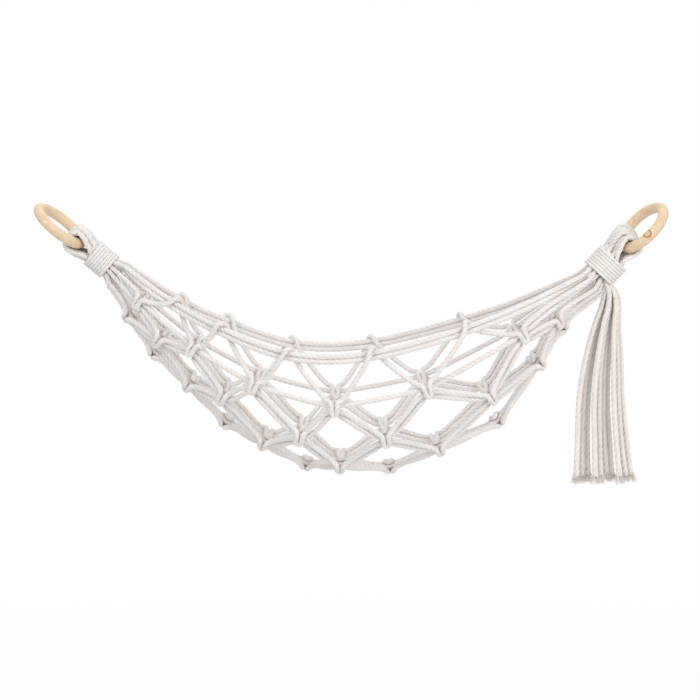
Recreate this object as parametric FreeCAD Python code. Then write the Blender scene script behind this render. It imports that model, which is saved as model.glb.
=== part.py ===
# Hanging fruit basket: a knotted cotton net slung between two wooden rings, with a tassel.
# X runs along the basket, Y away from the viewer, Z up; the origin is where the left hook bears.
import FreeCAD, Part
import math
import os

V = FreeCAD.Vector
os.makedirs("parts", exist_ok=True)

# Wooden rings, mm
ring_od = 60.0
ring_wood_d = 10.0
hook_span = 581.0
left_pull_deg = 40.0
right_pull_deg = 46.0
left_ring_turn_deg = 10.0
right_ring_turn_deg = 18.0

# Cords, mm
cord_d = 4.25
strand_gap = 0.6
wrap_cord_d = 2.5
wrap_gap = 0.45
body_gap = 0.4

# Bunches of cord under the rings, measured along the pull from the middle of the wood
bight_slack = 2.1
leg_step_share = 1.16
loop_layers = [6, 4]
neck_top = 10.5
neck_collar = 2.4
neck_low = 37.0
neck_face = 47.0
left_waist_r = 10.5
right_waist_r = 14.0
left_face_share = 0.68
right_face_share = 0.64
row_offset_share = 0.64
end_run = 2.5
hinge_setback = 1.8
wrap_lead = 1.75
wrap_tail = 1.6

# Net: rim line between the two bunches, and the belly under it
rim_lift = 9.5
rim_sag = 81.5
belly_depth = 104.0
belly_half_width = 85.0
knot_reach = 8.5
knot_edge_share = 1.72
first_edge_share = 1.5
knot_core_share = 0.5
bar_share = 0.67
tight_r_share = 0.63
loose_r_share = 3.0
sharp_turn = 1.2
arc_room_share = 0.45
setback_share = 1.15
bar_room_share = 1.6
hitch_reach = 6.0
hitch_room_share = 1.2
hitch_drop_share = 0.2
hitch_shares = [-1.0, -0.4, 0.4, 1.0]
net_strands = 16
knot_strands = 4
skirt_sides = 24
rim_low_share = 0.6
rim_high_share = 1.6

# One value for each of the twelve columns of knots, left to right
column_shares = [0.073, 0.125, 0.172, 0.22, 0.28, 0.36, 0.45, 0.54, 0.63, 0.735, 0.82, 0.885]
drop_shares = [0.27, 0.446, 0.59, 0.70, 0.84, 0.972, 1.0, 0.943, 0.822, 0.642, 0.48, 0.321]
depth_shares = [0.265, 0.39, 0.58, 0.76, 0.885, 0.98, 1.0, 0.995, 0.95, 0.82, 0.48, 0.285]
width_shares = [0.365, 0.47, 0.61, 0.75, 0.87, 0.965, 1.0, 0.985, 0.93, 0.80, 0.59, 0.46]
column_tilt_degs = [-40, -25, -8, 2, 8, 9, 5, 8, 12, 19, 33, 42]

# Tassel
knuckle_r = 6.0
knuckle_along = 41.4
knuckle_room_share = 0.5
knuckle_out = 20.3
tail_fan_deg = 44.0
tail_counts = [3, 4, 3]
tail_first_run = 7.0
tail_drops = [30.0, 60.0, 100.0, 140.0, 174.0]
tail_shifts = [-2.5, -5.0, -6.0, -5.0, -3.5]
tail_spread_pitch = 4.2
tail_spread_shares = [0.62, 0.9, 1.0, 1.15, 1.35]
tail_sway = 0.9
sway_turns = [2.1, 2.4]
push_turns = [1.3, 1.9]
tail_depth_share = 1.12
tail_depth_step = 0.07
tail_bend_share = 60

pitch = cord_d + strand_gap
wood_r = ring_wood_d / 2
ring_r = (ring_od - ring_wood_d) / 2
bar_half = bar_share * cord_d
leg_step = leg_step_share * pitch
Y = V(0, 1, 0)
radii = []


def unit(v):
    w = V(v)
    w.normalize()
    return w


def turn_of(a, b, c):
    return math.acos(max(-1.0, min(1.0, unit(b - a).dot(unit(c - b)))))


def rounded_path(points, limit):
    """Straight runs joined by tangent arcs; no arc is larger than limit or than its runs allow."""
    cuts = []
    for i in range(1, len(points) - 1):
        a, b, c = points[i - 1], points[i], points[i + 1]
        half = math.tan(turn_of(a, b, c) / 2)
        room = arc_room_share * min((b - a).Length, (c - b).Length)
        if half < 1e-4:
            cuts.append(None)
            continue
        want = limit[i] if isinstance(limit, list) else limit
        r = min(want, room / half)
        radii.append(r)
        cuts.append((r, r * half))
    edges = []
    here = points[0]
    for i, cut in enumerate(cuts, 1):
        if cut is None:
            continue
        r, back = cut
        b = points[i]
        din, dout = unit(b - points[i - 1]), unit(points[i + 1] - b)
        p, q = b - din * back, b + dout * back
        inward = unit(dout - din)
        centre = b + inward * math.sqrt(r * r + back * back)
        if (p - here).Length > 1e-4:
            edges.append(Part.LineSegment(here, p).toShape())
        edges.append(Part.Arc(p, centre - inward * r, q).toShape())
        here = q
    edges.append(Part.LineSegment(here, points[-1]).toShape())
    return Part.Wire(edges)


def tube(wire, dia):
    edge = wire.Edges[0]
    start = edge.valueAt(edge.FirstParameter)
    along = edge.tangentAt(edge.FirstParameter)
    ring = Part.Wire(Part.makeCircle(dia / 2, start, along))
    solid = wire.makePipeShell([ring], True, False)
    expect = math.pi * dia * dia / 4 * wire.Length
    if not solid.isValid() or abs(solid.Volume / expect - 1) > 0.01:
        print("tube off", solid.isValid(), solid.Volume, expect)
    return solid


def save(shape, name):
    shape.exportStep("parts/" + name + ".step")


# The two ends: pull direction, square direction, middle of the ring's wood under the cords
def end_frame(hook, pull_deg, side, turn_deg):
    a = math.radians(pull_deg)
    t = math.radians(turn_deg)
    pull = V(side * math.cos(a), 0, -math.sin(a))
    square = V(side * math.sin(a), 0, math.cos(a))
    across = Y * math.cos(t) + square * math.sin(t)
    lift = square * math.cos(t) - Y * math.sin(t)
    ring_centre = hook + pull * (ring_r - wood_r)
    wood = ring_centre + pull * ring_r
    print("swing axis", wood - pull * hinge_setback, across)
    return {"pull": pull, "square": square, "across": across, "lift": lift, "ring": ring_centre, "wood": wood}


left = end_frame(V(0, 0, 0), left_pull_deg, 1, left_ring_turn_deg)
right = end_frame(V(hook_span, 0, 0), right_pull_deg, -1, right_ring_turn_deg)


def make_ring(end):
    normal = end["pull"].cross(end["across"])
    return Part.makeTorus(ring_r, wood_r, end["ring"], normal)


# Loops over the wood: an inner layer of six and an outer layer of four
def make_bights(end):
    loops = []
    for layer, count in enumerate(loop_layers):
        off = wood_r + bight_slack + cord_d / 2 + layer * leg_step
        leg = pitch + layer * leg_step
        for n in range(count):
            y = (n - (count - 1) / 2) * pitch
            back = ring_r - math.sqrt(ring_r * ring_r - y * y)
            base = end["wood"] + end["across"] * y
            half = []
            for s in (1, -1):
                out = end["lift"] * s
                foot = base + end["pull"] * neck_top + out * leg
                knee = base + end["pull"] * (neck_top - cord_d / 2) + out * leg
                hip = base + end["pull"] * (cord_d / 2 - back) + out * off
                top = base - end["pull"] * (off + back) + out * off
                half.append([foot, knee, hip, top])
            points = half[0] + half[1][::-1]
            soft = cord_d
            limit = [0, soft, soft, off, off, soft, soft, 0]
            loops.append(tube(rounded_path(points, limit), cord_d))
    return loops


# Squeezed bunch inside the winding: turned about the pull, then spreading to an oval face
def make_neck(end, waist_r):
    row = (max(loop_layers) - 1) / 2 * pitch
    top_r = max(waist_r, math.hypot(row, pitch) + cord_d / 2 + strand_gap)
    profile = [(neck_top, 0), (neck_top, top_r), (neck_top + neck_collar, waist_r),
               (neck_low, waist_r), (neck_low, 0)]
    points = [end["wood"] + end["pull"] * a + end["square"] * r for a, r in profile]
    points.append(points[0])
    spool = Part.Face(Part.makePolygon(points)).revolve(end["wood"], end["pull"], 360)
    edge = cord_d / 2 + strand_gap
    low, face = [], []
    for k in range(skirt_sides):
        corner = []
        for m in (k, k + 1):
            ang = 2 * math.pi * m / skirt_sides
            reach = max(y * math.cos(ang) + n * math.sin(ang) for y, n in end["flat"]) + edge
            corner.append((ang, reach))
        (a1, h1), (a2, h2) = corner
        turn = math.sin(a2 - a1)
        y = (h1 * math.sin(a2) - h2 * math.sin(a1)) / turn
        n = (h2 * math.cos(a1) - h1 * math.cos(a2)) / turn
        face.append(end["face"] + Y * y + end["square"] * n)
        spin = Y * math.cos((a1 + a2) / 2) + end["square"] * math.sin((a1 + a2) / 2)
        low.append(end["wood"] + end["pull"] * (neck_low - strand_gap) + spin * (waist_r - strand_gap))
    skirt = Part.makeLoft([Part.makePolygon(q + q[:1]) for q in (low, face)], True, True)
    print("face valid %s, size %s" % (skirt.isValid(), skirt.BoundBox))
    return spool.fuse(skirt).removeSplitter()


def arc_points(p, t, q):
    """Middle of the arc that leaves p along t and reaches q."""
    chord = q - p
    n = unit(chord - t * chord.dot(t))
    r = chord.Length * chord.Length / (2 * chord.dot(n))
    centre = p + n * r
    return centre + unit((p - centre) + (q - centre)) * r, r


# One unbroken winding of thin cord, on pairs of arcs for each quarter turn
def make_wrap(end, waist_r):
    step = wrap_cord_d + wrap_gap
    first = neck_top + neck_collar + wrap_lead
    last = neck_low - wrap_tail
    turns = math.floor((last - first) / step)
    r = waist_r + strand_gap + wrap_cord_d / 2
    spots = []
    for k in range(4 * turns + 1):
        ang = k * math.pi / 2
        spin = end["square"] * math.cos(ang) + Y * math.sin(ang)
        ahead = Y * math.cos(ang) - end["square"] * math.sin(ang)
        place = end["wood"] + end["pull"] * (first + step * k / 4) + spin * r
        spots.append((place, unit(ahead * (2 * math.pi * r) + end["pull"] * step)))
    p0, t0 = spots[0]
    edges = [Part.LineSegment(p0 - t0 * wrap_cord_d, p0).toShape()]
    for (p, t), (q, s) in zip(spots, spots[1:]):
        chord, both = q - p, t + s
        k = 2 * (1 - t.dot(s))
        d = (-chord.dot(both) + math.sqrt(chord.dot(both) ** 2 + k * chord.dot(chord))) / k
        mid = (p + q + (t - s) * d) / 2
        m1, r1 = arc_points(p, t, mid)
        m2, r2 = arc_points(q, s * -1, mid)
        edges.append(Part.Arc(p, m1, mid).toShape())
        edges.append(Part.Arc(mid, m2, q).toShape())
    p1, t1 = spots[-1]
    edges.append(Part.LineSegment(p1, p1 + t1 * wrap_cord_d).toShape())
    wire = Part.Wire(edges)
    dots = wire.discretize(Number=turns * 48)
    own = math.pi * r
    seg = wire.Length / (len(dots) - 1)
    apart = int(own / seg)
    least = min((dots[i] - dots[j]).Length for i in range(len(dots)) for j in range(i + apart, len(dots)))
    print("winding turns", turns, "least self gap %.2f" % (least - wrap_cord_d))
    return tube(wire, wrap_cord_d)


left_face = left["wood"] + left["pull"] * neck_face
right_face = right["wood"] + right["pull"] * neck_face


# Belly surface: half an ellipse at each column
def column_base(c):
    s = column_shares[c]
    x = left_face.x + s * (right_face.x - left_face.x)
    z = left_face.z + s * (right_face.z - left_face.z) + rim_lift - rim_sag * drop_shares[c]
    return V(x, 0, z)


def column_down(c):
    a = math.radians(column_tilt_degs[c])
    return V(math.sin(a), 0, -math.cos(a))


def belly_point(c, phi):
    deep = belly_depth * depth_shares[c] * math.sin(phi) + pitch * (rim_low_share + rim_high_share) / 2
    wide = -belly_half_width * width_shares[c] * math.cos(phi)
    return column_base(c) + column_down(c) * deep + Y * wide


def belly_frame(c, phi):
    before = belly_point(c - 1, phi) if c > 0 else left_face
    after = belly_point(c + 1, phi) if c + 1 < len(column_shares) else right_face
    along = unit(after - before)
    out = column_down(c) * (math.sin(phi) / (belly_depth * depth_shares[c]))
    out = out - Y * (math.cos(phi) / (belly_half_width * width_shares[c]))
    out = unit(out - along * out.dot(along))
    across = out.cross(along)
    if across.dot(belly_point(c, phi + 0.1) - belly_point(c, phi)) < 0:
        across = across * -1
    return belly_point(c, phi), along, across, out


def rim_frame(c, side):
    phi = 0 if side < 0 else math.pi
    before = belly_point(c - 1, phi) if c > 0 else left_face
    after = belly_point(c + 1, phi) if c + 1 < len(column_shares) else right_face
    along = unit(after - before)
    down = column_down(c)
    up = unit(along * down.dot(along) - down)
    out = unit(Y * side - along * (along.y * side))
    return belly_point(c, phi), along, up, out


# Square knot: the outer two cords cross in front and behind, the middle two run through
def knot_points(c, phi, q, before, after):
    o, u, v, w = belly_frame(c, phi)
    rise, b = pitch, bar_half
    if q in (1, 2):
        side = (knot_core_share if q == 2 else -knot_core_share) * pitch
        spots = [(-knot_reach, side, 0), (knot_reach, side, 0)]
    else:
        f = 1 if q == 0 else -1
        share = knot_edge_share if c else first_edge_share
        edge, tip = -share * pitch * f, pitch * f
        near = knot_reach - outer_setback(o - before, u, v, share)
        far = knot_reach - outer_setback(after - o, u, v, share)
        spots = [(-near, edge, 0), (-b, edge, rise * f), (-b, tip, rise * f),
                 (b, tip, rise * f), (b, edge, rise * f), (far, edge, 0)]
    return [o + u * x + v * y + w * z for x, y, z in spots]


def outer_setback(step, u, v, share):
    """The outer cord of a slanting pair leaves the knot sooner, so the pair keeps its spacing."""
    shift = abs(step.dot(v)) - (share + knot_core_share) * pitch
    slant = math.atan2(max(0.0, shift), max(cord_d, step.dot(u) - 2 * knot_reach))
    return min(setback_share * pitch * math.tan(slant / 2), knot_reach - bar_room_share * bar_half)


# Edge cord: up in front of the two rim cords, over them and down behind
def hitch_points(c, side):
    o, along, up, out = rim_frame(c, side)
    low = pitch * (rim_low_share - hitch_drop_share)
    high = pitch * (rim_high_share + hitch_room_share)
    room = hitch_room_share * pitch
    sides = [(room, low), (room, high), (-room, high), (-room, low)]
    spots = [(a, n, h) for a, (n, h) in zip(hitch_shares, sides)]
    return [o + along * (a * hitch_reach) + out * n + up * h for a, n, h in spots]


def knot_place(c, i):
    """Angle of the knot that strand i makes in column c, and the strand's place in it."""
    step = math.pi * knot_strands / net_strands
    half = knot_strands // 2
    if c % 2 == 0:
        return step * (i // knot_strands + half / knot_strands), i % knot_strands
    if half <= i < net_strands - half:
        return step * ((i - half) // knot_strands + 1), (i - half) % knot_strands
    return None


def net_part(i):
    points = []
    last = len(column_shares) - 1
    tied = [c for c in range(last + 1) if knot_place(c, i)]
    for c in range(last + 1):
        if c in tied:
            phi, q = knot_place(c, i)
            m = tied.index(c)
            here = belly_point(c, phi)
            before = belly_point(tied[m - 1], knot_place(tied[m - 1], i)[0]) if m else here
            after = belly_point(tied[m + 1], knot_place(tied[m + 1], i)[0]) if c != tied[-1] else here
            points += knot_points(c, phi, q, before, after)
        elif c == last:
            points.append(belly_point(c, math.pi * (i + 0.5) / net_strands))
        elif i in (0, net_strands - 1):
            points += hitch_points(c, -1 if i == 0 else 1)
    return points


def rim_part(side, level):
    points = []
    for c in range(len(column_shares)):
        o, along, up, out = rim_frame(c, side)
        points.append(o + up * (level * pitch))
    return points


# All twenty strands in order: near rim, net, far rim
strands = [("near_rim_strand_1", rim_part(-1, rim_high_share))]
strands += [("near_rim_strand_2", rim_part(-1, rim_low_share))]
strands += [("net_strand_%02d" % (i + 1), net_part(i)) for i in range(net_strands)]
strands += [("far_rim_strand_1", rim_part(1, rim_low_share))]
strands += [("far_rim_strand_2", rim_part(1, rim_high_share))]


# Places on the faces of the bunches: the nearest knots drawn in, every other cord set inwards
def face_places(end, targets, share):
    end["face"] = end["wood"] + end["pull"] * neck_face
    flat = [(q.y, (q - end["face"]).dot(end["square"])) for q in targets]
    mid = (max(n for y, n in flat) + min(n for y, n in flat)) / 2
    end["flat"] = []
    for j, (y, n) in enumerate(flat):
        y1, n1 = flat[max(j - 1, 0)]
        y2, n2 = flat[min(j + 1, len(flat) - 1)]
        size = math.hypot(y2 - y1, n2 - n1)
        out = row_offset_share * pitch / size * (1 if j % 2 == 0 else -1)
        end["flat"].append((y * share + (n2 - n1) * out, (n - mid) * share - (y2 - y1) * out))
    return [end["face"] + Y * y + end["square"] * n for y, n in end["flat"]]


left_places = face_places(left, [points[0] for name, points in strands], left_face_share)
right_places = face_places(right, [points[-1] for name, points in strands], right_face_share)


def whole_route(j):
    points = [left_places[j], left_places[j] + left["pull"] * end_run] + strands[j][1]
    return points + [right_places[j] + right["pull"] * end_run, right_places[j]]


def strand_wire(j):
    route = whole_route(j)
    limit = [0]
    for k in range(1, len(route) - 1):
        turned = turn_of(route[k - 1], route[k], route[k + 1])
        limit.append(tight_r_share * cord_d if turned > sharp_turn else loose_r_share * cord_d)
    return rounded_path(route, limit)


# Tassel: each tail leaves the turned-over bunch straight out from the swing axis, then hangs
tassel_axis = right["wood"] + right["pull"] * knuckle_along - right["square"] * knuckle_out


def tail_routes():
    routes = []
    total = sum(tail_counts)
    for col, count in enumerate(tail_counts):
        a = math.radians(tail_fan_deg * (col - 1))
        away = V(math.sin(a), 0, -math.cos(a))
        for n in range(count):
            j = len(routes)
            y = (n - (count - 1) / 2) * pitch
            start = tassel_axis + Y * y + away * (knuckle_r + body_gap)
            points = [start, start + away * tail_first_run]
            for m, drop in enumerate(tail_drops):
                x = (j - (total - 1) / 2) * tail_spread_pitch * tail_spread_shares[m]
                sway = tail_sway * math.sin(sway_turns[0] * j + sway_turns[1] * m)
                push = tail_sway * math.cos(push_turns[0] * j + push_turns[1] * m)
                spread = tail_depth_share + tail_depth_step * m
                points.append(tassel_axis + V(x + tail_shifts[m] + sway, y * spread + push, -drop))
            routes.append(points)
    return routes


def main():
    save(make_ring(left), "left_ring")
    save(make_ring(right), "right_ring")
    save(Part.makeCompound(make_bights(left)), "left_bights")
    save(Part.makeCompound(make_bights(right)), "right_bights")
    save(make_neck(left, left_waist_r), "left_neck")
    knuckle_long = (max(tail_counts) + knuckle_room_share) * pitch
    knuckle = Part.makeCylinder(knuckle_r, knuckle_long, tassel_axis - Y * (knuckle_long / 2), Y)
    neck = make_neck(right, right_waist_r).fuse(knuckle).removeSplitter()
    print("right bunch solids", len(neck.Solids))
    save(neck, "right_neck")
    save(make_wrap(left, left_waist_r), "left_wrap")
    save(make_wrap(right, right_waist_r), "right_wrap")
    for j, (name, points) in enumerate(strands):
        save(tube(strand_wire(j), cord_d), name)
    for j, route in enumerate(tail_routes()):
        save(tube(rounded_path(route, tail_bend_share * cord_d), cord_d), "tassel_tail_%02d" % (j + 1))
    print("least radius %.2f, cord radius %.2f, arcs %d" % (min(radii), cord_d / 2, len(radii)))
    print("tassel axis", tassel_axis, "left wood", left["wood"], "right wood", right["wood"])


main()
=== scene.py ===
"""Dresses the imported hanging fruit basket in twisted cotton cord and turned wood, on a plain stage."""
import itertools
import math

import bpy
import numpy as np
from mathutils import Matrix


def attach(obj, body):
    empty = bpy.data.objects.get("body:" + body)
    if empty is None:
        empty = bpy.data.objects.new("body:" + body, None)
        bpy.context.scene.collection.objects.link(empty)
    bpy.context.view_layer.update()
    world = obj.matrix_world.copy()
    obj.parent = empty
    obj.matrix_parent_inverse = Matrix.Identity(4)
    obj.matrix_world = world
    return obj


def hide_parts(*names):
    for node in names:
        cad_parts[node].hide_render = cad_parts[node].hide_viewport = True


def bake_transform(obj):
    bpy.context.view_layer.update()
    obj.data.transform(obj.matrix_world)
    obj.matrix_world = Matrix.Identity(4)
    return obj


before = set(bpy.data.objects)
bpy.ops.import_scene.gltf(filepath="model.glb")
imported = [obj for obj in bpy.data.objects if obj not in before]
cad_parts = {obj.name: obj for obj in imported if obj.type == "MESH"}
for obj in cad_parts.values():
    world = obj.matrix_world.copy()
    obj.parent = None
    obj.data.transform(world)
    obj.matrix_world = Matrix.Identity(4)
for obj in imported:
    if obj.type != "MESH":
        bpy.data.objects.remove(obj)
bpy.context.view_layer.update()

bl_info = {
    "name": "Hanging fruit basket",
    "version": (1, 0, 0),
    "blender": (4, 5, 0),
    "location": "View3D > Sidebar > Basket",
    "description": "Twisted cords, knots, windings, tassel and wooden rings around the packed basket",
    "category": "Add Mesh",
}

MM = 0.001
TAU = 2 * math.pi
Y = np.array([0.0, 1.0, 0.0])

# Rings and the way each end is pulled, mm and degrees
RING_OD, WOOD_D, HOOK_SPAN = 60.0, 10.0, 581.0
LEFT_PULL, RIGHT_PULL = 40.0, 46.0
LEFT_TURN, RIGHT_TURN = 10.0, 18.0
WOOD_R, RING_R = WOOD_D / 2, (RING_OD - WOOD_D) / 2

# Cords and bunches, mm along the pull from the middle of the wood
CORD_D, STRAND_GAP, THREAD_D, THREAD_GAP = 4.25, 0.6, 2.5, 0.45
PITCH = CORD_D + STRAND_GAP
LOOP_LAYERS = (6, 4)
NECK_TOP, NECK_COLLAR, NECK_LOW, NECK_FACE = 10.5, 2.4, 37.0, 47.0
LEFT_WAIST, RIGHT_WAIST = 10.5, 14.0
LEFT_FACE_SHARE, RIGHT_FACE_SHARE, ROW_OFFSET, END_RUN = 0.68, 0.64, 0.64, 2.5
WRAP_LEAD, WRAP_TURNS, WRAP_POINTS, WRAP_BULGE = 1.75, 7, 16, 0.75
TUCK_BACK, TUCK_SIDES, TUCK_SINKS = 2.0, (6.0, 4.0), (4.0, 1.0)

# Net: one value for each column of knots, left to right
RIM_LIFT, RIM_SAG, BELLY_DEPTH, BELLY_HALF = 9.5, 81.5, 104.0, 85.0
RIM_LOW, RIM_HIGH, NET, TIED, KNOT_STEP = 0.6, 1.6, 16, 4, 0.25
KNOT_REACH, BAR_HALF, SETBACK, BAR_ROOM = 8.5, 0.6 * CORD_D, 1.15, 1.6
KNOT_EDGE, FIRST_EDGE, KNOT_CORE = 1.72, 1.5, 0.5
HITCH_REACH, HITCH_ROOM, HITCH_DROP = 6.0, 1.06, 0.2
HITCH_SHARES = (-1.0, -0.4, 0.4, 1.0)
COLUMNS = (0.073, 0.125, 0.172, 0.22, 0.28, 0.36, 0.45, 0.54, 0.63, 0.735, 0.82, 0.885)
DROPS = (0.27, 0.446, 0.59, 0.70, 0.84, 0.972, 1.0, 0.943, 0.822, 0.642, 0.48, 0.321)
DEPTHS = (0.265, 0.39, 0.58, 0.76, 0.885, 0.98, 1.0, 0.995, 0.95, 0.82, 0.48, 0.285)
WIDTHS = (0.365, 0.47, 0.61, 0.75, 0.87, 0.965, 1.0, 0.985, 0.93, 0.80, 0.59, 0.46)
TILTS = (-40, -25, -8, 2, 8, 9, 5, 8, 12, 19, 33, 42)
LAST = len(COLUMNS) - 1

# How much fuller than the solids the belly is drawn at each column, mm, from a share of its depth down
FULLER, FULL_FROM = (2.5, 4.5, 3.0, 6.0, 7.5, 1.0, 2.0, 3.5, 6.5, 5.0, 5.5, 1.0), 0.4
PHI_STEP = 0.1

# Tassel
KNUCKLE_R, KNUCKLE_ALONG, KNUCKLE_OUT = 6.0, 41.4, 20.3
TAIL_COUNTS = (3, 4, 3)
TAIL_DROPS = (30.0, 60.0, 100.0, 140.0, 174.0)
TAIL_SHIFTS = (-2.5, -5.4, -7.5, -6.3, -4.2)
TAIL_SPREADS, TAIL_PITCH, TAIL_SWAY = (0.62, 0.92, 1.12, 1.25, 1.4), 4.2, 0.4
TAILS = sum(TAIL_COUNTS)


# Sizes and colours

class BasketCordSizes(bpy.types.PropertyGroup):
    """Sizes of the cotton cords as they look."""
    cord: bpy.props.FloatProperty(
        name="Cord", description="Crest to crest width of the net's cord", default=0.0051, unit="LENGTH")
    lay: bpy.props.FloatProperty(
        name="Lay", description="Length of one full turn of the cord's plies",
        default=0.0165, unit="LENGTH")
    groove: bpy.props.FloatProperty(
        name="Groove", description="Depth of the groove between plies, as a share of the radius",
        default=0.17, min=0.0, max=0.6, subtype="FACTOR")
    thread: bpy.props.FloatProperty(
        name="Thread", description="Width of the thin cord of the windings", default=0.00335, unit="LENGTH")
    step: bpy.props.FloatProperty(
        name="Step", description="Distance between stations along a cord", default=0.001, unit="LENGTH")
    sides: bpy.props.IntProperty(
        name="Sides", description="Points round a cord", default=24, min=12, max=48)
    fray: bpy.props.FloatProperty(
        name="Fray", description="Length of the loose yarns at the tassel's ends",
        default=0.008, unit="LENGTH")
    yarns: bpy.props.IntProperty(
        name="Yarns", description="Loose yarns at each end of the tassel", default=48, min=1, max=80)


class BasketColours(bpy.types.PropertyGroup):
    """Colours of the cotton, the wood and the stage."""
    cotton: bpy.props.FloatVectorProperty(
        name="Cotton", description="Cotton on the crest of a ply", subtype="COLOR",
        default=(0.935, 0.90, 0.88))
    # Painted shade: the colour the cotton is darkened towards in the grooves between the plies and between
    # the yarn lines
    cotton_groove_shade: bpy.props.FloatVectorProperty(
        name="Cotton groove shade", description="Painted shade of the cotton between the plies", subtype="COLOR",
        default=(0.82, 0.76, 0.725))
    tassel: bpy.props.FloatVectorProperty(
        name="Tassel", description="Cotton of the tassel, a little warmer", subtype="COLOR",
        default=(0.92, 0.865, 0.83))
    wood: bpy.props.FloatVectorProperty(
        name="Wood", description="Early wood of the rings", subtype="COLOR", default=(0.76, 0.60, 0.43))
    wood_deep: bpy.props.FloatVectorProperty(
        name="Wood lines", description="Late wood and flecks of the rings", subtype="COLOR",
        default=(0.60, 0.40, 0.20))
    floor: bpy.props.FloatVectorProperty(
        name="Floor", description="Studio floor", subtype="COLOR", default=(0.85, 0.85, 0.85))


# Lines of the cords, mm

def unit(v):
    """A vector divided by its length."""
    return v / np.linalg.norm(v, axis=-1, keepdims=True)


def end_frame(hook_x, pull_deg, side, turn_deg, waist):
    """Directions at one end: along the pull, square to it, and both turned about the pull with the ring."""
    a, t = math.radians(pull_deg), math.radians(turn_deg)
    pull = np.array([side * math.cos(a), 0.0, -math.sin(a)])
    square = np.array([side * math.sin(a), 0.0, math.cos(a)])
    ring = np.array([hook_x, 0.0, 0.0]) + pull * (RING_R - WOOD_R)
    wood = ring + pull * RING_R
    return {"pull": pull, "square": square, "ring": ring, "wood": wood, "waist": waist,
            "across": Y * math.cos(t) + square * math.sin(t),
            "lift": square * math.cos(t) - Y * math.sin(t), "face": wood + pull * NECK_FACE}


LEFT = end_frame(0.0, LEFT_PULL, 1, LEFT_TURN, LEFT_WAIST)
RIGHT = end_frame(HOOK_SPAN, RIGHT_PULL, -1, RIGHT_TURN, RIGHT_WAIST)


def column_down(c):
    """The way the belly hangs at a column."""
    a = math.radians(TILTS[c])
    return np.array([math.sin(a), 0.0, -math.cos(a)])


def belly_point(c, phi):
    """Half an ellipse at each column, a little fuller low down: phi runs from the near rim to the far one."""
    base = LEFT["face"] + COLUMNS[c] * (RIGHT["face"] - LEFT["face"])
    base = base + np.array([0.0, 0.0, RIM_LIFT - RIM_SAG * DROPS[c]])
    deep = BELLY_DEPTH * DEPTHS[c] * math.sin(phi) + PITCH * (RIM_LOW + RIM_HIGH) / 2
    deep += FULLER[c] * max(0.0, math.sin(phi) - FULL_FROM) / (1 - FULL_FROM)
    return base + column_down(c) * deep - Y * (BELLY_HALF * WIDTHS[c] * math.cos(phi))


def run_along(c, phi):
    """The way the net runs at a column, from its neighbours."""
    before = belly_point(c - 1, phi) if c > 0 else LEFT["face"]
    after = belly_point(c + 1, phi) if c < LAST else RIGHT["face"]
    return unit(after - before)


def belly_frame(c, phi):
    """Place, run, across and outwards on the belly."""
    along = run_along(c, phi)
    out = column_down(c) * (math.sin(phi) / (BELLY_DEPTH * DEPTHS[c]))
    out = out - Y * (math.cos(phi) / (BELLY_HALF * WIDTHS[c]))
    out = unit(out - along * out.dot(along))
    across = np.cross(out, along)
    if across.dot(belly_point(c, phi + PHI_STEP) - belly_point(c, phi)) < 0:
        across = -across
    return belly_point(c, phi), along, across, out


def rim_frame(c, side):
    """Place, run, up and outwards on a rim."""
    phi = 0.0 if side < 0 else math.pi
    along, down = run_along(c, phi), column_down(c)
    return (belly_point(c, phi), along, unit(along * down.dot(along) - down),
            unit(Y * side - along * (along[1] * side)))


def setback(step, u, v, share):
    """The outer cord of a slanting pair leaves the knot sooner."""
    shift = abs(step.dot(v)) - (share + KNOT_CORE) * PITCH
    slant = math.atan2(max(0.0, shift), max(CORD_D, step.dot(u) - 2 * KNOT_REACH))
    return min(SETBACK * PITCH * math.tan(slant / 2), KNOT_REACH - BAR_ROOM * BAR_HALF)


def knot_points(c, phi, q, before, after):
    """Square knot: cords 0 and 3 cross in front and behind as two bars, cords 1 and 2 run through."""
    o, u, v, w = belly_frame(c, phi)
    if q in (1, 2):
        side = (KNOT_CORE if q == 2 else -KNOT_CORE) * PITCH
        spots = [(-KNOT_REACH, side, 0), (KNOT_REACH, side, 0)]
    else:
        f = 1 if q == 0 else -1
        share = KNOT_EDGE if c else FIRST_EDGE
        edge, tip, rise, b = -share * PITCH * f, PITCH * f, PITCH * f, BAR_HALF
        near = KNOT_REACH - setback(o - before, u, v, share)
        far = KNOT_REACH - setback(after - o, u, v, share)
        spots = [(-near, edge, 0), (-b, edge, rise), (-b, tip, rise),
                 (b, tip, rise), (b, edge, rise), (far, edge, 0)]
    return [o + u * x + v * y + w * z for x, y, z in spots]


def hitch_points(c, side):
    """Edge cord: up in front of the two rim cords, over them and down behind."""
    o, along, up, out = rim_frame(c, side)
    low, high, room = PITCH * (RIM_LOW - HITCH_DROP), PITCH * (RIM_HIGH + HITCH_ROOM), HITCH_ROOM * PITCH
    sides = ((room, low), (room, high), (-room, high), (-room, low))
    return [o + along * (a * HITCH_REACH) + out * n + up * h for a, (n, h) in zip(HITCH_SHARES, sides)]


def knot_place(c, i):
    """Angle of the knot that strand i makes in column c, and the strand's place in it."""
    if c % 2 == 0:
        return math.pi * KNOT_STEP * (0.5 + i // TIED), i % TIED
    half = TIED // 2
    if half <= i < NET - half:
        return math.pi * KNOT_STEP * (1 + (i - half) // TIED), (i - half) % TIED
    return None


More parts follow.
